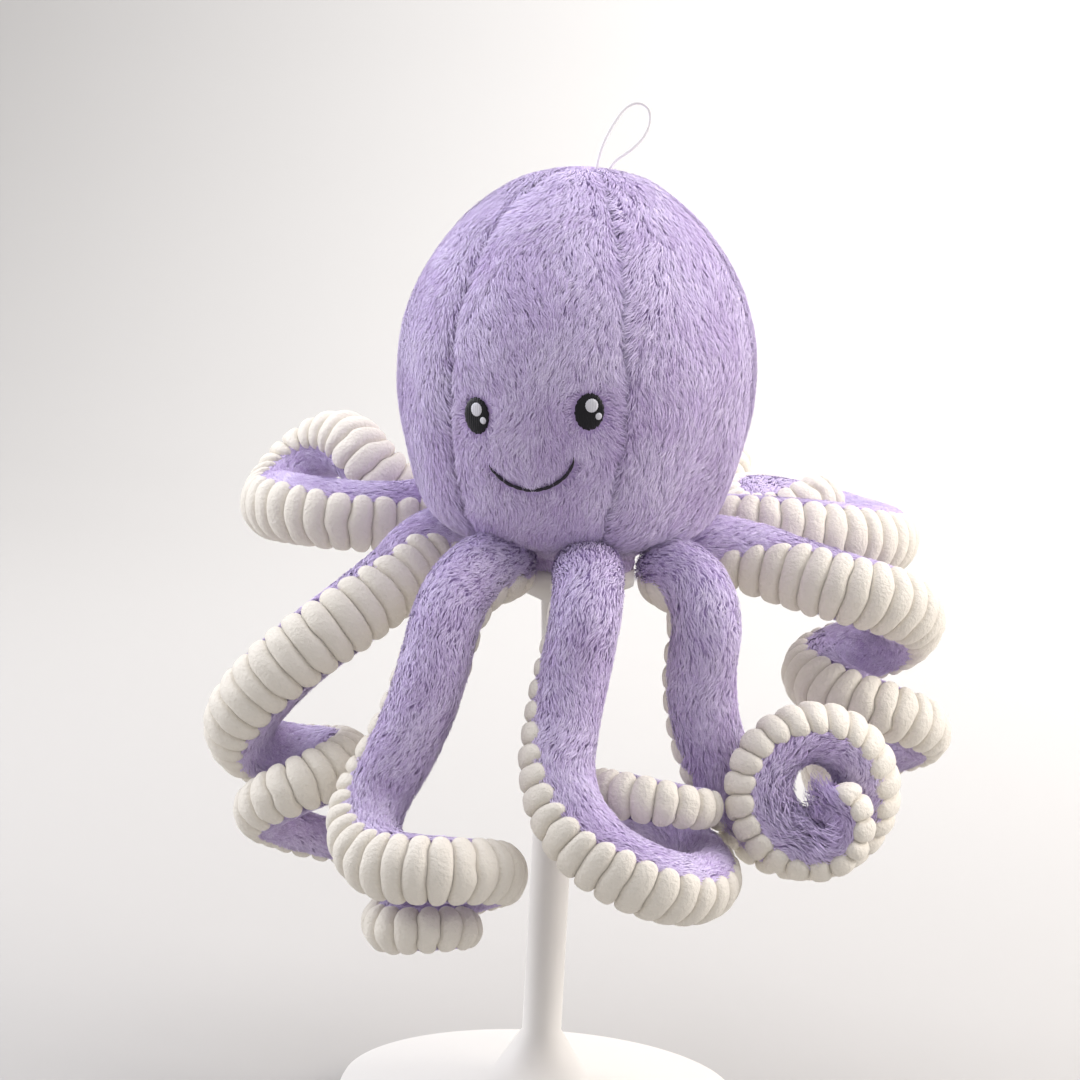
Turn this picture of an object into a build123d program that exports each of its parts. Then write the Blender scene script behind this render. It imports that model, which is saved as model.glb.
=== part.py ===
"""Stuffed plush octopus: a gored fur head, a base disc and eight curled arms.

Each arm is a fur panel and a ribbed panel sewn edge to edge round a stuffing core, and it
swings on the seam that holds it under the head. Millimetres, +Z up, face toward -Y, origin
at the centre of the flat seat.
"""

import os
from math import ceil, cos, pi, radians, sin, tan

from build123d import *

os.makedirs("parts", exist_ok=True)

# Fabric
CLOTH = 3.0  # backing and pressed pile of one panel
CLEAR = 0.3  # between a panel and the stuffing behind it

# Head
HEAD_TOP = 235.0
HEAD_RADIUS = 104.5
WIDEST_AT = 116.0
CHIN_RADIUS = 85.0
CHIN_AT = 34.0
NECK_RADIUS = 40.0
NECK_TOP = 28.0
DISC_THICKNESS = 3.5
GORES = 6
GORE_ANGLE = 360 / GORES
HEAD_TURN = 5.7  # the head is sewn on a little round to the toy's left

# Face
EYE_ANGLE = 18.6  # either side of the middle of the face
EYE_HEIGHT = 98.5
EYE_WIDTH = 17.0
EYE_TALL = 21.5
GLINT_RADIUS = 4.1
SMALL_GLINT_RADIUS = 2.1
LARGE_GLINT_PLACE = (-0.3, 4.2)  # from the middle of the eye
SMALL_GLINT_PLACE = (5.4, -2.8)
MOUTH_HALF_WIDTH = 25.0
MOUTH_END_HEIGHT = 68.0
MOUTH_DROP = 13.5
MOUTH_LINE = 2.0
STITCH_DEPTH = 0.8

# Arms
ARM_COUNT = 8
FIRST_ARM_ANGLE = -112.5  # of arm 1, counted from the face toward the toy's left hand
ROOT_RING_RADIUS = 72.0
ROOT_RING_CENTRE = (9.0, 3.4)  # the head leans a little to the other side of its arms
ROOT_RADIUS = 21.0
TIP_RADIUS = 11.5
TAPER_START = 0.4  # share of the arm that keeps its full thickness
TAPER_POWER = 1.2
END_RADIUS = 6.0  # gathered end of a panel
RIBBED_HALF_ANGLE = 76.0
SEAM_ANGLE = 1.0
POCKET_CLEAR = 1.2
SOCKET_CLEAR = 1.7  # round the root itself
POCKET_STATIONS = 8  # a pocket follows this much of the arm, counted from the root
LONGEST_STEP = 22.0
LARGEST_STEP_ANGLE = 22.0

# Height of each arm's root above the seat: the back arms lie level with the seat, the front
# ones sag over the edge that the toy sits on.
ROOT_HEIGHT = {1: 24, 2: 12, 3: 4, 4: 4, 5: 4, 6: 12, 7: 24, 8: 24}

# How each arm lies, root to tip, as a chain of bends. A bend is its length in mm, then three
# angles in degrees: curl toward the fur side, bend to the side, and twist about the arm.
ARM_BENDS = {
    1: [(60, -30, 70, 35), (110, 95, -65, 20), (95, 140, 130, 75), (55, 95, -55, -10),
        (140, 150, -10, -15)],
    2: [(40, -60, 35, 60), (140, 80, -20, 75), (105, 200, 5, 90), (90, 190, 25, 50),
        (85, 100, -20, 0)],
    3: [(70, -65, 25, -30), (85, -25, -15, -45), (80, 120, -50, -65), (150, 240, 20, -50),
        (75, 210, 5, -40)],
    4: [(55, -85, -5, -10), (65, 20, -5, -55), (80, 70, 5, -50), (135, 155, 80, 0),
        (125, 245, 25, 40)],
    5: [(55, -100, -25, 30), (115, 35, 40, -45), (100, 150, 50, 5), (150, 250, -5, 45),
        (40, 120, -5, 0)],
    6: [(65, -30, -25, -75), (115, 140, 35, -50), (90, 175, 25, -70), (150, 230, 10, -90),
        (40, 100, -30, 30)],
    7: [(45, -50, -70, -75), (165, 140, 35, 25), (135, 170, 40, -15), (50, 105, -60, -10),
        (65, 175, 55, -10)],
    8: [(60, 0, 10, 20), (75, 5, 10, 65), (180, 165, 0, 5), (95, 130, -25, 0),
        (50, 50, -10, 0)],
}

# Hanging loop, in the upright plane that leans across the crown
LOOP_DIAMETER = 2.0
LOOP_PLANE_ANGLE = 20.5
LOOP_SHARE_OF_RUN = 0.45
LOOP_POINTS = [(5, 233.4), (6, 243), (11, 257), (18.5, 270), (24.5, 275), (31, 275),
               (36, 269.5), (34, 257), (24.5, 246.5), (14.5, 240), (12, 232.6)]


def head_outline(inset, mode=Mode.ADD):
    """Draws half the head's section, drawn in by inset, from the crown to the foot of the neck."""
    with BuildLine() as outline:
        side = Spline(
            (0, HEAD_TOP - inset),
            (HEAD_RADIUS * 0.66 - inset * 0.6, HEAD_TOP - 32 - inset * 0.8),
            (HEAD_RADIUS - inset, WIDEST_AT),
            (CHIN_RADIUS - inset * 0.9, CHIN_AT + inset * 0.5),
            tangents=((1, 0), (-0.75, -1)),
        )
        under = Line(side @ 1, (NECK_RADIUS - inset, NECK_TOP + inset))
        neck = Line(under @ 1, (NECK_RADIUS - inset, DISC_THICKNESS))
        foot = Line(neck @ 1, (0, DISC_THICKNESS))
        Line(foot @ 1, side @ 0)
    make_face(outline.edges(), mode=mode)


def upright_plane(angle, height=0.0):
    """A plane through the head's axis that faces outward at an angle from the face's middle."""
    across = (cos(radians(angle)), sin(radians(angle)), 0)
    outward = (sin(radians(angle)), -cos(radians(angle)), 0)
    return Plane((0, 0, height), x_dir=across, z_dir=outward)


def arm_stations(number):
    """Places along an arm's centreline, root to tip, each with its share of the arm's length.

    A place's Z runs along the arm and its X points to the middle of the ribbed panel.
    """
    angle = FIRST_ARM_ANGLE + (number - 1) * 360 / ARM_COUNT
    root = Vector(
        ROOT_RING_CENTRE[0] + ROOT_RING_RADIUS * sin(radians(angle)),
        ROOT_RING_CENTRE[1] - ROOT_RING_RADIUS * cos(radians(angle)),
        ROOT_HEIGHT[number],
    )
    outward = Vector(sin(radians(angle)), -cos(radians(angle)), 0)
    here = Plane(root, x_dir=(0, 0, -1), z_dir=outward).location
    total = sum(bend[0] for bend in ARM_BENDS[number])
    done = 0.0
    stations = [(here, 0.0)]
    for length, curl, side, twist in ARM_BENDS[number]:
        steps = max(ceil(length / LONGEST_STEP), ceil(abs(curl) / LARGEST_STEP_ANGLE))
        half = Rotation(0, -curl / steps / 2, 0) * Rotation(-side / steps / 2, 0, 0)
        half = half * Rotation(0, 0, twist / steps / 2)
        for _ in range(steps):
            here = here * half * Pos(0, 0, length / steps) * half
            done += length / steps
            stations.append((here, done / total))
    return stations


def arm_radius(share):
    """Full thickness for the first part of the arm, then a taper to the tip."""
    taper = max(0.0, (share - TAPER_START) / (1 - TAPER_START))
    return ROOT_RADIUS + (TIP_RADIUS - ROOT_RADIUS) * taper**TAPER_POWER


def rounded_ends(stations):
    """Adds the round ends: more places past the root and the tip, on a circle's outline."""
    rings = [(place, arm_radius(share)) for place, share in stations]
    for end, sign in ((0, -1), (-1, 1)):
        place, radius = rings[end]
        closed = (1 - (END_RADIUS / radius) ** 2) ** 0.5
        caps = []
        for reach in (0.5 * closed, 0.8 * closed, closed):
            caps.append((place * Pos(0, 0, sign * reach * radius), radius * (1 - reach**2) ** 0.5))
        rings = caps[::-1] + rings if sign < 0 else rings + caps
    return rings


def panel_section(place, radius, start, span):
    """Draws a strip of cloth round part of the arm's circle."""
    with BuildSketch(Plane(place)) as section:
        with BuildLine():
            outer = CenterArc((0, 0), radius, start, span)
            inner = CenterArc((0, 0), radius - CLOTH, start, span)
            Line(outer @ 0, inner @ 0)
            Line(outer @ 1, inner @ 1)
        make_face()
    return section.sketch


def core_section(place, radius):
    """Draws the circle that the stuffing fills, as two half circles that start on local X."""
    with BuildSketch(Plane(place)) as section:
        with BuildLine():
            CenterArc((0, 0), radius, 0, 180)
            CenterArc((0, 0), radius, 180, 180)
        make_face()
    return section.sketch


def lofted(sections):
    """Lofts each section to the next, in short lengths that join up into one piece."""
    return [loft(pair, ruled=True, mode=Mode.PRIVATE) for pair in zip(sections, sections[1:])]


def embroidery_layer(depth):
    """The thin skin on the front of the head that holds one layer of stitching."""
    with BuildPart() as layer:
        with BuildSketch(Plane.XZ.rotated((0, 0, -135))):
            head_outline(-depth - STITCH_DEPTH)
            head_outline(-depth, mode=Mode.SUBTRACT)
        revolve(axis=Axis.Z, revolution_arc=90)
    return layer.part


# Pockets that the head's underside leaves for the arm roots that sit highest
pockets = []
for number in (1, 2, 6, 7, 8):
    stations = arm_stations(number)
    sections = [core_section(place, arm_radius(share) + POCKET_CLEAR) for place, share in stations]
    with BuildPart() as pocket:
        add(lofted(sections[:POCKET_STATIONS]))
        with Locations(stations[0][0]):
            Sphere(ROOT_RADIUS + SOCKET_CLEAR)
    pockets.append(pocket.part)

# Head gores: six fur panels round the stuffing, turned in under the head to the neck
for gore in range(GORES):
    with BuildPart() as head_gore:
        with BuildSketch(Plane.XZ.rotated((0, 0, HEAD_TURN - 90 + (gore - 0.5) * GORE_ANGLE))):
            head_outline(0)
            head_outline(CLOTH, mode=Mode.SUBTRACT)
        revolve(axis=Axis.Z, revolution_arc=GORE_ANGLE)
        add(pockets, mode=Mode.SUBTRACT)
    head_gore.part.label = f"head_gore_{gore + 1}"
    export_step(head_gore.part, f"parts/{head_gore.part.label}.step")

# Head stuffing: one mass of fibre that fills the gores down to the base disc
with BuildPart() as head_stuffing:
    with BuildSketch(Plane.XZ):
        head_outline(CLOTH + CLEAR)
    revolve(axis=Axis.Z)
    add(pockets, mode=Mode.SUBTRACT)
head_stuffing.part.label = "head_stuffing"
export_step(head_stuffing.part, "parts/head_stuffing.step")

# Base disc: the flat fur disc that closes the underside, and the face that the toy sits on
with BuildPart() as base_disc:
    Cylinder(NECK_RADIUS, DISC_THICKNESS, align=(Align.CENTER, Align.CENTER, Align.MIN))
base_disc.part.label = "base_disc"
export_step(base_disc.part, "parts/base_disc.step")

# Eye patches: two upright ovals of black satin stitch
with BuildPart() as eye_patches:
    for angle in (-EYE_ANGLE, EYE_ANGLE):
        with BuildSketch(upright_plane(HEAD_TURN + angle, EYE_HEIGHT)):
            Ellipse(EYE_WIDTH / 2, EYE_TALL / 2)
        extrude(amount=HEAD_RADIUS + 20)
    add(embroidery_layer(0), mode=Mode.INTERSECT)
eye_patches.part.label = "eye_patches"
export_step(eye_patches.part, "parts/eye_patches.step")

# Eye highlights: a large and a small white dot on each eye
with BuildPart() as eye_highlights:
    for angle in (-EYE_ANGLE, EYE_ANGLE):
        with BuildSketch(upright_plane(HEAD_TURN + angle, EYE_HEIGHT)):
            with Locations(LARGE_GLINT_PLACE):
                Circle(GLINT_RADIUS)
            with Locations(SMALL_GLINT_PLACE):
                Circle(SMALL_GLINT_RADIUS)
        extrude(amount=HEAD_RADIUS + 20)
    add(embroidery_layer(STITCH_DEPTH), mode=Mode.INTERSECT)
eye_highlights.part.label = "eye_highlights"
export_step(eye_highlights.part, "parts/eye_highlights.step")

# Mouth stitch: one line of dark thread in a smile
with BuildPart() as mouth_stitch:
    with BuildSketch(upright_plane(HEAD_TURN, MOUTH_END_HEIGHT)):
        with BuildLine():
            lip = ThreePointArc(
                (-MOUTH_HALF_WIDTH, 0), (0, -MOUTH_DROP), (MOUTH_HALF_WIDTH, 0)
            )
            rim = ThreePointArc(
                (-MOUTH_HALF_WIDTH + MOUTH_LINE, MOUTH_LINE / 2),
                (0, -MOUTH_DROP + MOUTH_LINE),
                (MOUTH_HALF_WIDTH - MOUTH_LINE, MOUTH_LINE / 2),
            )
            Line(lip @ 0, rim @ 0)
            Line(lip @ 1, rim @ 1)
        make_face()
    extrude(amount=HEAD_RADIUS + 20)
    add(embroidery_layer(0), mode=Mode.INTERSECT)
mouth_stitch.part.label = "mouth_stitch"
export_step(mouth_stitch.part, "parts/mouth_stitch.step")

# Hanging loop: thin white cord, both ends caught in the seams at the crown
points = [Vector(*point) for point in LOOP_POINTS]
radii = []
for before, point, after in zip(points, points[1:], points[2:]):
    turn = radians((point - before).get_angle(after - point))
    shorter = min((point - before).length, (after - point).length)
    radii.append(LOOP_SHARE_OF_RUN * shorter / tan(turn / 2))
with BuildPart() as hang_loop:
    with BuildLine(upright_plane(LOOP_PLANE_ANGLE)) as route:
        FilletPolyline(*LOOP_POINTS, radius=radii)
    cord = route.wire()
    with BuildSketch(Plane(cord @ 0, z_dir=cord % 0)):
        Circle(LOOP_DIAMETER / 2)
    sweep(path=cord)
hang_loop.part.label = "hang_loop"
export_step(hang_loop.part, "parts/hang_loop.step")
print("loop radii", [round(radius, 1) for radius in radii])
print("loop length", round(cord.length, 1))
print("loop volume", round(hang_loop.part.volume, 1))
print("section x length", round(pi * LOOP_DIAMETER**2 / 4 * cord.length, 1))

# Arms: a fur panel inside the curl, a ribbed panel outside it, and the stuffing in between,
# each lofted from ring to ring
ribbed = (-RIBBED_HALF_ANGLE, 2 * RIBBED_HALF_ANGLE)
fur = (RIBBED_HALF_ANGLE + SEAM_ANGLE, 360 - 2 * RIBBED_HALF_ANGLE - 2 * SEAM_ANGLE)
for number in ARM_BENDS:
    rings = rounded_ends(arm_stations(number))
    for name, (start, span) in (("ribbed_panel", ribbed), ("fur_panel", fur)):
        sections = [panel_section(place, radius, start, span) for place, radius in rings]
        with BuildPart() as panel:
            add(lofted(sections))
        panel.part.label = f"arm_{number}_{name}"
        export_step(panel.part, f"parts/{panel.part.label}.step")
    sections = [core_section(place, radius - CLOTH - CLEAR) for place, radius in rings]
    with BuildPart() as stuffing:
        add(lofted(sections))
    stuffing.part.label = f"arm_{number}_stuffing"
    export_step(stuffing.part, f"parts/{stuffing.part.label}.step")
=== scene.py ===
"""Looks of a stuffed plush octopus: fur head, stitched face, hanging loop, eight curled arms."""

import math

import bpy
import numpy as np
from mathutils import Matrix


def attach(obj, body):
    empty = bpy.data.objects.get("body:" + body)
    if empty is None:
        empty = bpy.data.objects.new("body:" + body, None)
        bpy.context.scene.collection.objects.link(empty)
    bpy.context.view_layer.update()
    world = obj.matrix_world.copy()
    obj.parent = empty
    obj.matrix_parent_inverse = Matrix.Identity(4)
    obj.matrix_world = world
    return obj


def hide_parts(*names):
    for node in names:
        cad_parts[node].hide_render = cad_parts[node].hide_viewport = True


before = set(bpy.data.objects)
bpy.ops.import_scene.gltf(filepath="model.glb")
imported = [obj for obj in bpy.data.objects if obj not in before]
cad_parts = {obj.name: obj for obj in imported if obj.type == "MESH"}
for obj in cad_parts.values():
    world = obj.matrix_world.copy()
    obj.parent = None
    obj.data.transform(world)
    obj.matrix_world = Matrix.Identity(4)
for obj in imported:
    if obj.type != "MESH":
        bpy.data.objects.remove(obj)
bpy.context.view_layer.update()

# Camera: a long lens in front of the toy, turned toward its left side and leaning a little, so
# that its curled arms fill the view.
camera = bpy.data.objects.new("camera", bpy.data.cameras.new("camera"))
camera.data.sensor_width = 36
camera.data.lens = 116
camera.data.clip_end = 20
camera.location = (0.7079, -1.9414, 0.3134)
camera.rotation_euler = [math.radians(angle) for angle in (81.69, -2.97, 20.93)]
bpy.context.scene.collection.objects.link(camera)
bpy.context.scene.camera = camera


# Hanging loop: a thin round white braided cord, both ends sewn into the seams at the crown. It
# leans to one side under its own weight, and its fine braid only shows as a soft sheen.


def linear(colour):
    """Turns an sRGB hex colour into the linear red, green, blue and alpha that a shader takes."""
    parts = [int(colour[i : i + 2], 16) / 255 for i in (1, 3, 5)]
    return [p / 12.92 if p <= 0.04045 else ((p + 0.055) / 1.055) ** 2.4 for p in parts] + [1.0]


def add_node(material, kind, settings=None, **inputs):
    """Adds a node, sets its settings, and fills its inputs with numbers or with other sockets."""
    node = material.node_tree.nodes.new(kind)
    for name, value in (settings or {}).items():
        setattr(node, name, value)
    for name, value in inputs.items():
        socket = node.inputs[name.replace("_", " ")]
        if isinstance(value, bpy.types.NodeSocket):
            material.node_tree.links.new(value, socket)
        else:
            socket.default_value = value
    return node


def fabric(name, colour, roughness, sheen, grain_mm, bump_mm, sheen_colour="#ffffff"):
    """A matt textile: one dye colour, a nap that catches light at its edges, and a fine grain."""
    material = bpy.data.materials.new(name)
    material.use_nodes = True
    material.node_tree.nodes.clear()
    place = add_node(material, "ShaderNodeTexCoord")
    grain = add_node(
        material,
        "ShaderNodeTexNoise",
        Vector=place.outputs["Object"],
        Scale=1000 / grain_mm,
        Detail=3.0,
        Roughness=0.6,
    )
    bump = add_node(
        material,
        "ShaderNodeBump",
        Height=grain.outputs["Fac"],
        Distance=bump_mm / 1000,
        Strength=1.0,
    )
    cloth = add_node(
        material,
        "ShaderNodeBsdfPrincipled",
        Base_Color=linear(colour),
        Roughness=roughness,
        Specular_IOR_Level=0.25,
        Sheen_Weight=sheen,
        Sheen_Roughness=0.4,
        Sheen_Tint=linear(sheen_colour),
        Normal=bump.outputs["Normal"],
    )
    add_node(material, "ShaderNodeOutputMaterial", Surface=cloth.outputs["BSDF"])
    return material


LOOP_DIAMETER = 2.0
LOOP_TURN = math.radians(20.5)  # of the upright plane that it lies in
LOOP_POINTS = [(5, 233.4), (6, 243), (11, 257), (18.5, 270), (24.5, 275), (31, 275),
               (36, 269.5), (34, 257), (24.5, 246.5), (14.5, 240), (12, 232.6)]

loop_line = bpy.data.curves.new("hanging_cord", "CURVE")
loop_line.dimensions = "3D"
loop_spline = loop_line.splines.new("NURBS")
loop_spline.points.add(len(LOOP_POINTS) - 1)
for point, (across, up) in zip(loop_spline.points, LOOP_POINTS):
    along_x, along_y = across * math.cos(LOOP_TURN), across * math.sin(LOOP_TURN)
    point.co = (along_x / 1000, along_y / 1000, up / 1000, 1)
loop_spline.order_u = 3
loop_spline.use_endpoint_u = True
loop_spline.resolution_u = 16
loop_line.bevel_depth = LOOP_DIAMETER / 2000
loop_line.bevel_resolution = 5
loop_line.use_fill_caps = True
loop_line.materials.append(
    fabric("white braided polyester cord", "#f4f2f0", 0.55, 0.3, 0.5, 0.15)
)
hanging_cord = bpy.data.objects.new("hanging_cord", loop_line)
bpy.context.scene.collection.objects.link(hanging_cord)
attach(hanging_cord, "head")
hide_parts("hang_loop")


# Head backing: six gores of knitted backing sewn into a tall ball, which is stuffed tight, so
# that it bulges between its seams and draws in at them. The fur grows from it.


def unit(vectors):
    """Each vector divided by its length."""
    return vectors / np.maximum(np.linalg.norm(vectors, axis=-1, keepdims=True), 1e-9)


def cell_noise(cells, seed):
    """A number from -1 to 1 for each whole-number cell: its three indices mixed by multiplying."""
    mixed = cells[..., 0] * 73856093 ^ cells[..., 1] * 19349663 ^ cells[..., 2] * 83492791
    mixed = (mixed ^ (seed * 2654435761)) & 0xFFFFFFFF
    mixed = ((mixed ^ (mixed >> 15)) * 2246822519) & 0xFFFFFFFF
    mixed = ((mixed ^ (mixed >> 13)) * 3266489917) & 0xFFFFFFFF
    return ((mixed >> 8) & 0xFFFF) / 32767.5 - 1


def smooth_noise(points, cell, seed):
    """Value noise from -1 to 1: the eight corners of a point's cell, blended by 3t^2 - 2t^3."""
    place = points / cell
    low = np.floor(place).astype(np.int64)
    blend = place - low
    blend = blend * blend * (3 - 2 * blend)
    total = np.zeros(len(points))
    for corner in np.ndindex(2, 2, 2):
        corner = np.array(corner)
        weight = np.prod(np.where(corner == 1, blend, 1 - blend), axis=1)
        total += weight * cell_noise(low + corner, seed)
    return total


def surface_piece(name, points, closed, material):
    """Makes a piece from a grid of points in mm: rows by columns, each cell one quad.

    closed joins the last column to the first.
    """
    rows, columns = points.shape[:2]
    index = np.arange(rows * columns).reshape(rows, columns)
    if closed:
        index = np.concatenate([index, index[:, :1]], axis=1)
    quads = np.stack([index[:-1, :-1], index[:-1, 1:], index[1:, 1:], index[1:, :-1]], axis=-1)
    mesh = bpy.data.meshes.new(name)
    mesh.from_pydata((points.reshape(-1, 3) / 1000).tolist(), [], quads.reshape(-1, 4).tolist())
    mesh.polygons.foreach_set("use_smooth", np.ones(len(mesh.polygons), bool))
    mesh.materials.append(material)
    piece = bpy.data.objects.new(name, mesh)
    bpy.context.scene.collection.objects.link(piece)
    return piece


def smooth_line(keys, count):
    """Catmull-Rom curve through the key points, read at count places equally far apart."""
    keys = np.array(keys, float)
    ends = np.concatenate([[2 * keys[0] - keys[1]], keys, [2 * keys[-1] - keys[-2]]])
    t = np.linspace(0, 1, 40, endpoint=False)[:, None, None]
    p0, p1, p2, p3 = ends[:-3], ends[1:-2], ends[2:-1], ends[3:]
    line = 0.5 * (2 * p1 + (p2 - p0) * t + (2 * p0 - 5 * p1 + 4 * p2 - p3) * t**2
                  + (3 * p1 - p0 - 3 * p2 + p3) * t**3)
    line = np.concatenate([line.transpose(1, 0, 2).reshape(-1, keys.shape[1]), keys[-1:]])
    run = np.concatenate([[0], np.cumsum(np.linalg.norm(np.diff(line, axis=0), axis=1))])
    even = np.linspace(0, run[-1], count)
    return np.stack([np.interp(even, run, column) for column in line.T], axis=1)


HEAD_KEYS = [(0, 235), (19, 233), (42, 225), (70, 203), (91, 173), (102.5, 141), (104.5, 108),
             (99.5, 74), (88, 38), (74, 22), (56, 15), (42, 9), (38.5, 2)]  # radius and height
HEAD_TURN = math.radians(5.7)  # of the face round to the toy's left
SEAM_ANGLES = HEAD_TURN + np.radians([30, 90, 150, 210, 270, 330])  # between the gores
SEAM_DRAW = 1.6  # how far a gore pulls in toward its seam, and over what width
SEAM_DRAW_WIDTH = 14.0
SEAM_CREASE = 2.7
SEAM_CREASE_WIDTH = 3.0
BACK_SEAM_SHARE = 0.3  # how deep a seam is behind the head, next to the two beside the face
CROWN_RADIUS = 60  # the seams fade out from here to the crown
LUMP_SIZE = 34  # across one lump of the stuffing, and its height
LUMP_HEIGHT = 1.1
head_line = smooth_line(HEAD_KEYS, 220)
head_run = np.linspace(0, 1, len(head_line))


def head_frame(share, angle):
    """Points on the head's backing, with their outward, downward and sideways unit vectors.

    share goes down the head's half section from 0 at the crown to 1 at the neck, and angle turns
    from straight ahead. A seam draws the surface in by two bell curves of its distance, times a
    share that falls with the cosine of the turn from the face, and to nothing at the crown.
    """
    radius = np.interp(share, head_run, head_line[:, 0])
    height = np.interp(share, head_run, head_line[:, 1])
    step = 0.004
    fall = np.stack(
        [np.interp(share + sign * step, head_run, head_line[:, axis]) for axis in (0, 1)
         for sign in (-1, 1)], axis=-1)
    fall = unit(np.stack([fall[..., 1] - fall[..., 0], fall[..., 3] - fall[..., 2]], axis=-1))
    sideways = np.stack([np.cos(angle), np.sin(angle), 0 * angle], axis=-1)
    outward_flat = np.stack([np.sin(angle), -np.cos(angle), 0 * angle], axis=-1)
    upright = np.array([0.0, 0.0, 1.0])
    down = fall[..., :1] * outward_flat + fall[..., 1:] * upright
    outward = -fall[..., 1:] * outward_flat + fall[..., :1] * upright
    turn = (angle[..., None] - SEAM_ANGLES + math.pi) % (2 * math.pi) - math.pi
    seam_side = np.take_along_axis(turn, np.abs(turn).argmin(-1)[..., None], -1)[..., 0]
    seam_distance = seam_side * radius
    points = radius[..., None] * outward_flat + height[..., None] * upright
    groove = SEAM_DRAW * np.exp(-((seam_distance / SEAM_DRAW_WIDTH) ** 2))
    groove = groove + SEAM_CREASE * np.exp(-((seam_distance / SEAM_CREASE_WIDTH) ** 2))
    front = np.clip((np.cos(angle - HEAD_TURN) - 0.2) / 0.4, 0, 1)
    groove = groove * np.clip(radius / CROWN_RADIUS, 0, 1)
    groove = groove * (BACK_SEAM_SHARE + (1 - BACK_SEAM_SHARE) * front)
    points = points - groove[..., None] * outward
    return points, outward, down, sideways, seam_distance


shares, angles = np.meshgrid(
    np.linspace(0, 1, 110), np.linspace(0, 2 * math.pi, 240, endpoint=False), indexing="ij"
)
head_points = head_frame(shares, angles)[0]
lumps = smooth_noise(head_points.reshape(-1, 3), LUMP_SIZE, 5).reshape(shares.shape)
head_points = head_points + LUMP_HEIGHT * lumps[..., None] * head_frame(shares, angles)[1]
backing = fabric("lavender knitted backing", "#bca6d6", 0.95, 0.3, 1.2, 0.5, "#e6dbf6")
head_backing = surface_piece("head_backing", head_points[::-1], True, backing)
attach(head_backing, "head")
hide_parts(*[f"head_gore_{number}" for number in range(1, 7)], "head_stuffing")


# Head fur: lavender rabbit plush, pile about 9 mm long that lies mostly downward, gathers in
# small locks, swirls in places, and spills into the seams. It parts round the stitched face.

# Five tones of the one lavender dye, darkest first; the darker ones also serve as painted shade at
# the blades' roots and between the locks
FUR_TONES = ["#b49aca", "#c2acd9", "#d0bfe4", "#dbceed", "#e6dbf4"]
fur_materials = [
    fabric(f"lavender rabbit plush {number}", tone, 0.9, 0.5, 0.6, 0.12, "#efe6fb")
    for number, tone in enumerate(FUR_TONES)
]
LOCK_SIZE = 4.6  # across one lock of fur


def nearest_lock(points, size, seed):
    """The middle of the lock that each point belongs to: the nearest jittered cell middle."""
    cell = np.floor(points / size).astype(np.int64)
    best = np.full(len(points), np.inf)
    middle = np.zeros_like(points)
    for offset in np.ndindex(3, 3, 3):
        near = cell + np.array(offset) - 1
        jitter = np.stack([cell_noise(near, seed + axis) for axis in range(3)], axis=1)
        candidate = (near + 0.5 + 0.42 * jitter) * size
        distance = np.linalg.norm(points - candidate, axis=1)
        closer = distance < best
        best = np.where(closer, distance, best)
        middle = np.where(closer[:, None], candidate, middle)
    return middle


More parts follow.
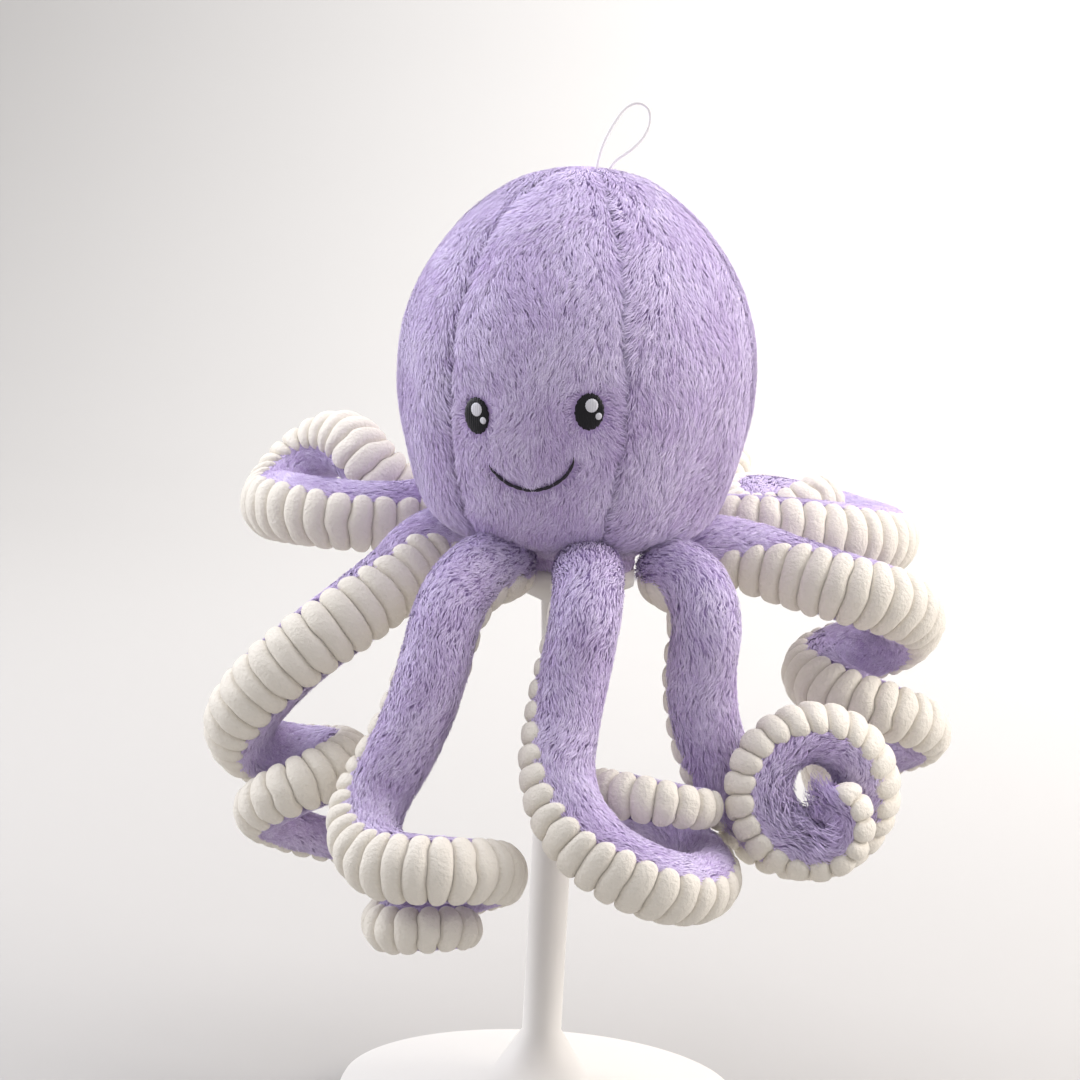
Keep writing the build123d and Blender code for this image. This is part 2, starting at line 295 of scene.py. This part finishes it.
def fur_piece(name, roots, outward, lie, length, seed, width=0.62, lift=0.25):
    """Makes pile from one bent blade at each root: a tapering quad and a pointed tip.

    A blade rises by lift of its length, then bends over and runs along lie, and leans toward
    the middle of its lock. Its shading normal is the skin's, rounded over each lock. Its root
    quad takes a darker tone than its tip, and blades toward a lock's edge darker ones, as painted
    shade in the pile. lift is one number or one for each blade.
    """
    random = np.random.default_rng(seed)
    count = len(roots)
    middle = nearest_lock(roots, LOCK_SIZE, seed % 7)
    pull = middle - roots
    pull = pull - np.sum(pull * outward, axis=1, keepdims=True) * outward
    lock_turn = cell_noise(np.floor(middle * 10).astype(np.int64), 11)
    side = np.cross(lie, outward)
    angle = 0.26 * lock_turn + random.normal(0, 0.22, count)
    lie = lie * np.cos(angle)[:, None] + side * np.sin(angle)[:, None]
    across = unit(np.cross(lie, outward)) * (width / 2)
    across = across * random.uniform(0.8, 1.2, count)[:, None]
    rise = (lift * random.uniform(0.75, 1.2, count))[:, None]
    length = (length * random.uniform(0.8, 1.15, count))[:, None]
    knee = roots + length * (0.38 * lie + 0.95 * rise * outward) + 0.1 * pull
    tip = roots + length * (0.95 * lie + 0.8 * rise * outward) + 0.28 * pull
    tip = tip + random.normal(0, 0.25, (count, 3))
    roots = roots - 0.4 * outward
    points = np.stack(
        [roots - 0.5 * across, roots + 0.5 * across, knee + 0.85 * across, knee - 0.85 * across,
         tip],
        axis=1,
    )
    base = 5 * np.arange(count)[:, None]
    corners = np.concatenate([base + [0, 1, 2, 3], base + [3, 2, 4]], axis=1)
    mesh = bpy.data.meshes.new(name)
    mesh.vertices.add(5 * count)
    mesh.vertices.foreach_set("co", (points / 1000).ravel())
    mesh.loops.add(7 * count)
    mesh.loops.foreach_set("vertex_index", corners.ravel())
    mesh.polygons.add(2 * count)
    starts = (7 * np.arange(count)[:, None] + [0, 4]).ravel()
    mesh.polygons.foreach_set("loop_start", starts)
    mesh.polygons.foreach_set("use_smooth", np.ones(2 * count, bool))
    # Tone slot of each blade: random tone from noise and from its lock, plus painted shade: darker
    # toward a lock's edge where shade falls between locks, and a root quad darker than the tip for
    # the shade deep in the pile
    reach = np.linalg.norm(pull, axis=1) / LOCK_SIZE
    tone = 2.35 + 0.8 * smooth_noise(roots, 26, 3) + 0.45 * smooth_noise(roots, 9, 4)
    tone = tone + 0.3 * lock_turn - 0.45 * reach + random.normal(0, 0.3, count)
    tones_with_painted_shade = np.stack([tone - 0.5, tone + 0.4], axis=1)
    for material in fur_materials:
        mesh.materials.append(material)
    mesh.polygons.foreach_set(
        "material_index", np.clip(np.round(tones_with_painted_shade), 0, 4).astype(np.int32).ravel()
    )
    mesh.update(calc_edges=True)
    normal = unit(outward - 0.25 * pull / LOCK_SIZE + random.normal(0, 0.07, (count, 3)))
    mesh.normals_split_custom_set_from_vertices(np.repeat(normal, 5, axis=0).tolist())
    piece = bpy.data.objects.new(name, mesh)
    bpy.context.scene.collection.objects.link(piece)
    return piece


# Places on the face, in mm on the fur's surface: along the head from the middle of the face
# toward the toy's left, and up from the seat
FACE_RADIUS = 103.0
EYES = [(-32.8, 94.5, 8.3, 10.7), (34.0, 102.0, 8.3, 10.7)]  # place, half width, half height
MOUTH_KEYS = [(-25.4, 66.5), (-22, 62.5), (-13, 56.5), (0, 54), (12, 56.5), (21.5, 63),
              (26, 70.5), (26.8, 75.5)]
mouth_line = smooth_line(MOUTH_KEYS, 90)


def part_round_face(side, height, lie, length):
    """Keeps fur off the face's stitching: which roots stay, and how the rest lean and shorten.

    side and height are a root's place on the face and lie its direction there. Near an eye or
    the mouth the fur turns away from it by a share that falls off with distance.
    """
    keep = np.ones(len(side), bool)
    for middle, level, half_width, half_height in EYES:
        away = np.stack([(side - middle) / half_width, (height - level) / half_height], axis=1)
        ring = np.linalg.norm(away, axis=1)
        keep &= ring > 0.97
        near = np.clip((1.95 - ring) / 0.8, 0, 1)[:, None]
        lie = unit((1 - near) * lie + near * (unit(away) + 0.25 * lie))
        length = length * (1 - 0.4 * near[:, 0])
    gap = np.stack([side, height], axis=1)[:, None] - mouth_line[None, ::3]
    distance = np.linalg.norm(gap, axis=2)
    nearest = distance.argmin(axis=1)
    distance = distance.min(axis=1)
    keep &= distance > 1.3
    away = gap[np.arange(len(side)), nearest] / np.maximum(distance, 0.1)[:, None]
    near = np.clip((8 - distance) / 7, 0, 1)[:, None]
    lie = unit((1 - near) * lie + near * (away + 0.5 * lie * [1, 0.3]))
    return keep, lie, length * (1 - 0.5 * near[:, 0])


HEAD_PILE = 9.0
BLADES_PER_GORE = 26000
SEAM_LEAN = 0.5  # how far the pile beside a seam turns toward it, in radians
SEAM_LEAN_WIDTH = 9
for gore in range(6):
    random = np.random.default_rng(100 + gore)
    picked = random.uniform(0, 1, (2 * BLADES_PER_GORE, 3))
    share = picked[:, 0]
    angle = HEAD_TURN + (picked[:, 1] - 0.5 + gore) * math.radians(60)
    radius = np.interp(share, head_run, head_line[:, 0])
    kept = picked[:, 2] < radius / head_line[:, 0].max()
    share, angle, radius = share[kept], angle[kept], radius[kept]
    roots, outward, down, sideways, seam_distance = head_frame(share, angle)
    roots = roots + LUMP_HEIGHT * smooth_noise(roots, LUMP_SIZE, 5)[:, None] * outward
    swirl = 0.75 * smooth_noise(roots, 30, 21) + 0.35 * smooth_noise(roots, 12, 22)
    front = np.clip(np.cos(angle - HEAD_TURN) / 0.5, 0, 1)
    lean = SEAM_LEAN * front * np.sign(seam_distance)
    swirl = swirl - lean * np.exp(-((seam_distance / SEAM_LEAN_WIDTH) ** 2))
    lie = np.stack([np.sin(swirl), -np.cos(swirl)], axis=1)
    length = HEAD_PILE * (1 - 0.45 * front * np.exp(-((seam_distance / 3) ** 2)))
    if gore in (0, 1, 5):
        face_angle = (angle - HEAD_TURN + math.pi) % (2 * math.pi) - math.pi
        keep, lie, length = part_round_face(
            face_angle * FACE_RADIUS, roots[:, 2], lie, length
        )
        roots, outward, down, sideways = roots[keep], outward[keep], down[keep], sideways[keep]
        lie, length = lie[keep], length[keep]
    lie = lie[:, :1] * sideways - lie[:, 1:] * down
    head_fur = fur_piece(f"head_fur_{gore + 1}", roots, outward, lie, length, 200 + gore)
    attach(head_fur, "head")


# Eyes: upright ovals of black rayon satin stitch, padded so that they stand a little proud of
# the backing, with a large and a small dot of white satin stitch on each. Rayon is glossy.


def satin_thread(name, colour, roughness, pitch_mm, depth_mm):
    """Glossy embroidery thread: lines one thread apart, with the thread's own fine wobble."""
    material = fabric(name, colour, roughness, 0.15, 0.35, 0.05)
    tree = material.node_tree
    cloth = next(node for node in tree.nodes if node.type == "BSDF_PRINCIPLED")
    grain_bump = next(node for node in tree.nodes if node.type == "BUMP")
    place = next(node for node in tree.nodes if node.type == "TEX_COORD")
    threads = add_node(
        material,
        "ShaderNodeTexWave",
        {"bands_direction": "X"},
        Vector=place.outputs["Object"],
        Scale=1000 / pitch_mm / 6.2832,
        Distortion=0.6,
        Detail=1.0,
        Detail_Scale=40.0,
    )
    thread_bump = add_node(
        material,
        "ShaderNodeBump",
        Height=threads.outputs["Fac"],
        Distance=depth_mm / 1000,
        Normal=grain_bump.outputs["Normal"],
    )
    tree.links.new(thread_bump.outputs["Normal"], cloth.inputs["Normal"])
    return material


def face_points(side, height, rise):
    """Points on the face: side turns round the head, and rise stands off the backing."""
    radius = np.interp(-height, -head_line[:, 1], head_line[:, 0]) + rise
    angle = HEAD_TURN + side / FACE_RADIUS
    return np.stack([radius * np.sin(angle), -radius * np.cos(angle), height], axis=-1)


def stitched_oval(name, middle, level, half_width, half_height, low, crown, material):
    """An oval patch: rings from its middle, crowned as a flat dome, its edge turned in."""
    ring, turn = np.meshgrid(
        np.linspace(0, 1, 22), np.linspace(0, 2 * math.pi, 72, endpoint=False), indexing="ij"
    )
    ragged = 1 + 0.025 * np.sin(17 * turn + middle) + 0.02 * np.sin(29 * turn + level)
    reach = ring * (1 + (ragged - 1) * ring**2)
    side = middle + half_width * reach * np.cos(turn)
    height = level + half_height * reach * np.sin(turn)
    rise = low + crown * np.sqrt(np.clip(1 - ring**4, 0, 1))
    piece = surface_piece(name, face_points(side, height, rise), True, material)
    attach(piece, "head")
    return piece


GLINTS = [(0.9, 3.7, 3.7), (5.1, -2.2, 1.9)]  # place from the eye's middle, and radius
black_satin = satin_thread("black rayon satin stitch", "#141318", 0.38, 0.7, 0.12)
white_satin = satin_thread("white rayon satin stitch", "#d4d3da", 0.45, 0.7, 0.12)
for side_name, (middle, level, half_width, half_height) in zip(("right", "left"), EYES):
    eye = stitched_oval(
        f"eye_{side_name}", middle, level, half_width, half_height, 0.5, 1.7, black_satin
    )
    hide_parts("eye_patches")
    for glint_name, (across, up, radius) in zip(("large", "small"), GLINTS):
        glint = stitched_oval(
            f"eye_{side_name}_{glint_name}_dot", middle + across, level + up, radius,
            radius * 1.12, 1.7, 1.0, white_satin
        )
        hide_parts("eye_highlights")


# Mouth: a smile of back stitch in thick dark cotton, pulled down into the fur, so that each
# stitch is a short fat lobe. It thins to its ends.

MOUTH_STITCH = 6.4
MOUTH_RADIUS = 1.15
stitch_line = smooth_line(MOUTH_KEYS, 200)
stitch_run = np.linspace(0, np.linalg.norm(np.diff(stitch_line, axis=0), axis=1).sum(), 200)
lobe = np.abs(np.sin(math.pi * stitch_run / MOUTH_STITCH)) ** 0.4
taper = np.clip(np.minimum(stitch_run, stitch_run[-1] - stitch_run) / 9, 0, 1) ** 0.5
thickness = MOUTH_RADIUS * (0.62 + 0.38 * lobe) * (0.12 + 0.88 * taper)
way = unit(np.gradient(stitch_line, axis=0))
turn = np.linspace(0, 2 * math.pi, 12, endpoint=False)
across = thickness[:, None] * np.cos(turn)
mouth_points = face_points(
    stitch_line[:, :1] + across * way[:, 1:],
    stitch_line[:, 1:] - across * way[:, :1],
    1.9 + 0.35 * lobe[:, None] + thickness[:, None] * np.sin(turn),
)
dark_cotton = fabric("charcoal embroidery cotton", "#2b2630", 0.75, 0.3, 0.5, 0.2)
mouth = surface_piece("mouth_stitches", mouth_points, True, dark_cotton)
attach(mouth, "head")
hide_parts("mouth_stitch")


# Arms: each is a tube of two strips, lavender fur inside the curl and ribbed cream velour
# outside it, stuffed firm. The centreline is a chain of bends, the same as in the solid model.

ROOT_RING_RADIUS = 72.0
ROOT_RING_CENTRE = (9.0, 3.4)
ROOT_RADIUS = 21.0
TIP_RADIUS = 11.5
TAPER_START = 0.4
TAPER_POWER = 1.2
LONGEST_STEP = 22.0
LARGEST_STEP_ANGLE = 22.0
FIRST_ARM_ANGLE = -112.5
ROOT_HEIGHT = {1: 24, 2: 12, 3: 4, 4: 4, 5: 4, 6: 12, 7: 24, 8: 24}
ARM_BENDS = {
    1: [(60, -30, 70, 35), (110, 95, -65, 20), (95, 140, 130, 75), (55, 95, -55, -10),
        (140, 150, -10, -15)],
    2: [(40, -60, 35, 60), (140, 80, -20, 75), (105, 200, 5, 90), (90, 190, 25, 50),
        (85, 100, -20, 0)],
    3: [(70, -65, 25, -30), (85, -25, -15, -45), (80, 120, -50, -65), (150, 240, 20, -50),
        (75, 210, 5, -40)],
    4: [(55, -85, -5, -10), (65, 20, -5, -55), (80, 70, 5, -50), (135, 155, 80, 0),
        (125, 245, 25, 40)],
    5: [(55, -100, -25, 30), (115, 35, 40, -45), (100, 150, 50, 5), (150, 250, -5, 45),
        (40, 120, -5, 0)],
    6: [(65, -30, -25, -75), (115, 140, 35, -50), (90, 175, 25, -70), (150, 230, 10, -90),
        (40, 100, -30, 30)],
    7: [(45, -50, -70, -75), (165, 140, 35, 25), (135, 170, 40, -15), (50, 105, -60, -10),
        (65, 175, 55, -10)],
    8: [(60, 0, 10, 20), (75, 5, 10, 65), (180, 165, 0, 5), (95, 130, -25, 0),
        (50, 50, -10, 0)],
}


def turned(axis, degrees):
    """The matrix that turns about one of the three axes."""
    cosine, sine = math.cos(math.radians(degrees)), math.sin(math.radians(degrees))
    one, two = [k for k in range(3) if k != axis]
    matrix = np.eye(3)
    matrix[one, one] = matrix[two, two] = cosine
    matrix[one, two], matrix[two, one] = (-sine, sine) if axis != 1 else (sine, -sine)
    return matrix


def arm_chain(number):
    """Stations of an arm: the run to each, its place, and its frame, one row per station.

    The arm starts level and outward with the ribbed side down. Each bend is cut into even steps,
    and a step is half its turn, a straight run, and the other half.
    """
    angle = math.radians(FIRST_ARM_ANGLE + 45 * (number - 1))
    ahead = np.array([math.sin(angle), -math.cos(angle), 0.0])
    rib_side = np.array([0.0, 0.0, -1.0])
    facing = np.stack([rib_side, np.cross(ahead, rib_side), ahead], axis=1)
    place = ROOT_RING_RADIUS * ahead + [*ROOT_RING_CENTRE, ROOT_HEIGHT[number]]
    runs, places, frames = [0.0], [place], [facing]
    for length, curl, side, twist in ARM_BENDS[number]:
        steps = max(math.ceil(length / LONGEST_STEP), math.ceil(abs(curl) / LARGEST_STEP_ANGLE))
        half = turned(1, -curl / steps / 2) @ turned(0, -side / steps / 2)
        half = half @ turned(2, twist / steps / 2)
        for _ in range(steps):
            facing = facing @ half
            place = place + facing[:, 2] * length / steps
            facing = facing @ half
            runs.append(runs[-1] + length / steps)
            places.append(place)
            frames.append(facing)
    return np.array(runs), np.array(places), np.array(frames)


def arm_place(chain, run):
    """Place, rib-side vector, cross vector, tangent and tube radius at runs along an arm.

    Between stations the line is a cubic with the stations' own tangents. Past an end it goes
    straight on, and the radius closes as a circle.
    """
    runs, places, frames = chain
    total = runs[-1]
    inside = np.clip(run, 0, total)
    index = np.clip(np.searchsorted(runs, inside, side="right") - 1, 0, len(runs) - 2)
    span = (runs[index + 1] - runs[index])[:, None]
    t = (inside - runs[index])[:, None] / span
    start, stop = places[index], places[index + 1]
    start_way, stop_way = frames[index][:, :, 2] * span, frames[index + 1][:, :, 2] * span
    place = ((2 * t**3 - 3 * t**2 + 1) * start + (t**3 - 2 * t**2 + t) * start_way
             + (3 * t**2 - 2 * t**3) * stop + (t**3 - t**2) * stop_way)
    ahead = unit((1 - t) * frames[index][:, :, 2] + t * frames[index + 1][:, :, 2])
    rib_side = (1 - t) * frames[index][:, :, 0] + t * frames[index + 1][:, :, 0]
    rib_side = unit(rib_side - np.sum(rib_side * ahead, axis=1, keepdims=True) * ahead)
    taper = np.clip((inside / total - TAPER_START) / (1 - TAPER_START), 0, 1)
    radius = ROOT_RADIUS + (TIP_RADIUS - ROOT_RADIUS) * taper**TAPER_POWER
    past = run - inside
    place = place + past[:, None] * ahead
    closing = np.sqrt(np.clip(1 - (past / radius) ** 2, 0, 1))
    lean = np.clip(past / radius, -1, 1)
    return place, rib_side, np.cross(ahead, rib_side), ahead, radius, closing, lean


def tube_points(chain, run, angle, depth):
    """Points round an arm, depth outside its radius, and the way each faces."""
    place, rib_side, cross, ahead, radius, closing, lean = arm_place(chain, run)
    round_way = np.cos(angle)[:, None] * rib_side + np.sin(angle)[:, None] * cross
    reach = (radius + depth) * closing
    points = place + reach[:, None] * round_way
    outward = unit(closing[:, None] * round_way + lean[:, None] * ahead)
    return points, outward, ahead, round_way


RIB_PITCH = 14.5  # along the outside of the curl
RIB_EDGE = 68.0  # half angle of the ribbed strip at the creases between its ribs
RIB_SCALLOP = 15.0  # how much further round the end of each rib bulges
RIB_SINK = -2.6  # bottom of the crease between two ribs, from the arm's radius
RIB_RISE = 2.4
RIB_RAGGED = 2.5  # how unevenly the ribs end, in degrees
RIB_STEPS = np.array([0, 0.05, 0.12, 0.24, 0.4, 0.6, 0.76, 0.88, 0.95])
ARM_PILE = 8.0
ARM_LIFT = 0.25
BLADES_PER_ARM = 32000
CLOSED_CURL = 5  # the arm whose pile fills its last turn, from this share of its length
CLOSED_CURL_START = 0.66
velour = fabric("cream ribbed velour", "#e2dcd1", 0.9, 0.5, 2.0, 1.0, "#fffaf0")

for number in ARM_BENDS:
    chain = arm_chain(number)
    total = chain[0][-1]
    body = f"arm_{number}"

    around = np.linspace(0, 2 * math.pi, 30, endpoint=False)
    cap = np.sin(np.linspace(0, math.pi / 2, 9)[1:]) * 0.999
    stations = np.concatenate(
        [-cap[::-1] * ROOT_RADIUS, np.linspace(0, total, 150), total + cap * TIP_RADIUS]
    )
    run, angle = [grid.ravel() for grid in np.meshgrid(stations, around, indexing="ij")]
    points = tube_points(chain, run, angle, -2.8)[0].reshape(len(stations), len(around), 3)
    arm_backing = surface_piece(f"arm_{number}_backing", points, True, backing)
    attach(arm_backing, body)
    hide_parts(f"arm_{number}_fur_panel", f"arm_{number}_stuffing")

    # The ribbed strip: rib tops are flat pillows, and their ends bulge past the seam as scallops
    fine = np.linspace(-0.8 * ROOT_RADIUS, total + 0.9 * TIP_RADIUS, 900)
    outside = tube_points(chain, fine, 0 * fine, 0)[0]
    outer = np.concatenate([[0], np.cumsum(np.linalg.norm(np.diff(outside, axis=0), axis=1))])
    rib_count = round(outer[-1] / RIB_PITCH)
    phase = (np.arange(rib_count)[:, None] + RIB_STEPS).ravel()
    phase = np.append(phase, rib_count)
    along = np.interp(phase * outer[-1] / rib_count, outer, fine)
    from_middle = np.abs(2 * (phase % 1) - 1)
    pillow = (1 - from_middle**3.2) ** 0.6
    edge = np.radians(RIB_EDGE + RIB_SCALLOP * np.sqrt(1 - from_middle**1.6))
    cross_share = np.sin(np.linspace(-math.pi / 2, math.pi / 2, 31))
    rib_random = np.random.default_rng(500 + number)
    ragged = rib_random.uniform(-RIB_RAGGED, RIB_RAGGED, rib_count + 1)
    edge = edge + np.radians(np.interp(phase, np.arange(rib_count + 1), ragged))
    angle = edge[:, None] * cross_share
    closing = (1 - np.abs(cross_share) ** 8) ** 0.5
    depth = RIB_SINK + (RIB_RISE - RIB_SINK) * pillow[:, None] * closing
    run = np.repeat(along, len(cross_share))
    flat = np.stack([phase[:, None] * 9 + 0 * angle, 14 * angle, 0 * angle], axis=-1)
    run = run + 1.1 * smooth_noise(flat.reshape(-1, 3) + 50 * number, 7, 61)
    wobble = 0.45 * smooth_noise(flat.reshape(-1, 3) + 50 * number, 4.5, 62)
    points = tube_points(chain, run, angle.ravel(), depth.ravel() + wobble)[0]
    points = points.reshape(len(along), len(cross_share), 3)
    arm_ribs = surface_piece(f"arm_{number}_ribs", points, False, velour)
    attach(arm_ribs, body)
    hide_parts(f"arm_{number}_ribbed_panel")

    # The fur lies toward the tip and leans over the seam on each side
    random = np.random.default_rng(300 + number)
    picked = random.uniform(0, 1, (int(1.3 * BLADES_PER_ARM), 3))
    run = -0.95 * ROOT_RADIUS + (total + 0.95 * ROOT_RADIUS + 0.95 * TIP_RADIUS) * picked[:, 0]
    _, _, _, _, radius, closing, _ = arm_place(chain, run)
    kept = picked[:, 2] < radius * np.maximum(closing, 0.5) / ROOT_RADIUS
    run, radius = run[kept], radius[kept]
    angle = math.pi + (picked[kept, 1] - 0.5) * math.radians(2 * (180 - RIB_EDGE - 3))
    roots, outward, ahead, round_way = tube_points(chain, run, angle, -2.4)
    sideways = unit(np.cross(ahead, outward))
    swirl = 0.6 * smooth_noise(roots, 26, 41) + 0.35 * smooth_noise(roots, 11, 42)
    along_way = unit(np.cross(outward, sideways))
    lie = np.cos(swirl)[:, None] * along_way + np.sin(swirl)[:, None] * sideways
    length = ARM_PILE * (0.55 + 0.45 * radius / ROOT_RADIUS)
    # Inside a tight curl the pile is pushed up, so that it closes the curl's middle
    curled = np.clip((run / total - CLOSED_CURL_START) / 0.12, 0, 1) * (number == CLOSED_CURL)
    curled = curled * np.clip(-np.cos(angle) / 0.7, 0, 1)
    length = length * (1 + 1.2 * curled)
    lift = ARM_LIFT + 0.6 * curled
    arm_fur = fur_piece(f"arm_{number}_fur", roots, outward, lie, length, 400 + number, lift=lift)
    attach(arm_fur, body)


# Base disc: the flat fur disc that closes the head's underside, its pile pressed short.

DISC_RADIUS = 39.5
disc_ring, disc_turn = np.meshgrid(
    np.linspace(0, 1, 14), np.linspace(0, 2 * math.pi, 64, endpoint=False), indexing="ij"
)
disc_radius = DISC_RADIUS * disc_ring
disc_height = 0.6 + 2.4 * disc_ring**8
disc_points = np.stack(
    [disc_radius * np.cos(disc_turn), disc_radius * np.sin(disc_turn), disc_height], axis=-1
)
base = surface_piece("base_disc_skin", disc_points[::-1], True, backing)
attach(base, "head")
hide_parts("base_disc")


# Floor and light: a pale sweep under a tall round stand that carries the seat, daylight from a
# window on each side, a soft sky from above, a weak fill in front, and a lamp on the wall behind.

sweep_line = smooth_line([(-3.0, 0), (1.2, 0), (2.3, 0.25), (2.9, 1.2), (3.0, 3.5)], 40) * 1000
sweep_x, sweep_row = np.meshgrid(np.linspace(-3500, 3500, 4), np.arange(40), indexing="ij")
sweep_points = np.stack(
    [sweep_x, sweep_line[sweep_row, 0], sweep_line[sweep_row, 1] - 330], axis=-1
)
sweep = surface_piece(
    "floor_sweep", sweep_points, False, fabric("pale paper", "#acaaa7", 0.8, 0, 40, 0.0)
)

stand_keys = np.array([(0, -0.6), (38, -0.6), (41, -3), (41, -12), (14, -24), (12, -60),
                       (12, -290), (30, -318), (120, -326), (122, -330)])
stand_turn = np.linspace(0, 2 * math.pi, 96, endpoint=False)
stand_points = np.stack(
    [stand_keys[:, :1] * np.cos(stand_turn), stand_keys[:, :1] * np.sin(stand_turn),
     np.repeat(stand_keys[:, 1:], len(stand_turn), axis=1)], axis=-1
)
stand = surface_piece(
    "display_stand", stand_points[::-1], True, fabric("pale lacquer", "#dedbd6", 0.5, 0, 9, 0.0)
)


def soft_light(name, place, aim, size, power, colour):
    """A square area light at place that faces aim, in metres and watts."""
    lamp = bpy.data.lights.new(name, "AREA")
    lamp.size = size
    lamp.energy = power
    lamp.color = linear(colour)[:3]
    holder = bpy.data.objects.new(name, lamp)
    holder.location = place
    way = np.array(aim, float) - place
    holder.rotation_euler = (
        math.atan2(math.hypot(way[0], way[1]), -way[2]), 0, math.atan2(-way[0], way[1])
    )
    bpy.context.scene.collection.objects.link(holder)


soft_light("window_right", (1.9, 0.8, 1.1), (0, 0, 0.1), 1.6, 58, "#fff9f4")
soft_light("window_left", (-2.0, -0.2, 0.9), (0, 0, 0.05), 1.6, 44, "#f6f8ff")
soft_light("sky_above", (0, 0.2, 2.0), (0, 0, 0), 1.8, 28, "#fbfaff")
soft_light("front_fill", (0.6, -2.4, 0.7), (0, 0, -0.05), 2.0, 3, "#fffdfb")
soft_light("wall_wash", (0, 1.9, 1.9), (0, 3.0, 0.9), 1.8, 90, "#fdfdff")
world = bpy.data.worlds.new("room")
world.use_nodes = True
world.node_tree.nodes["Background"].inputs["Color"].default_value = linear("#efeef2")
world.node_tree.nodes["Background"].inputs["Strength"].default_value = 0.66
bpy.context.scene.world = world
bpy.context.scene.view_settings.view_transform = "Standard"
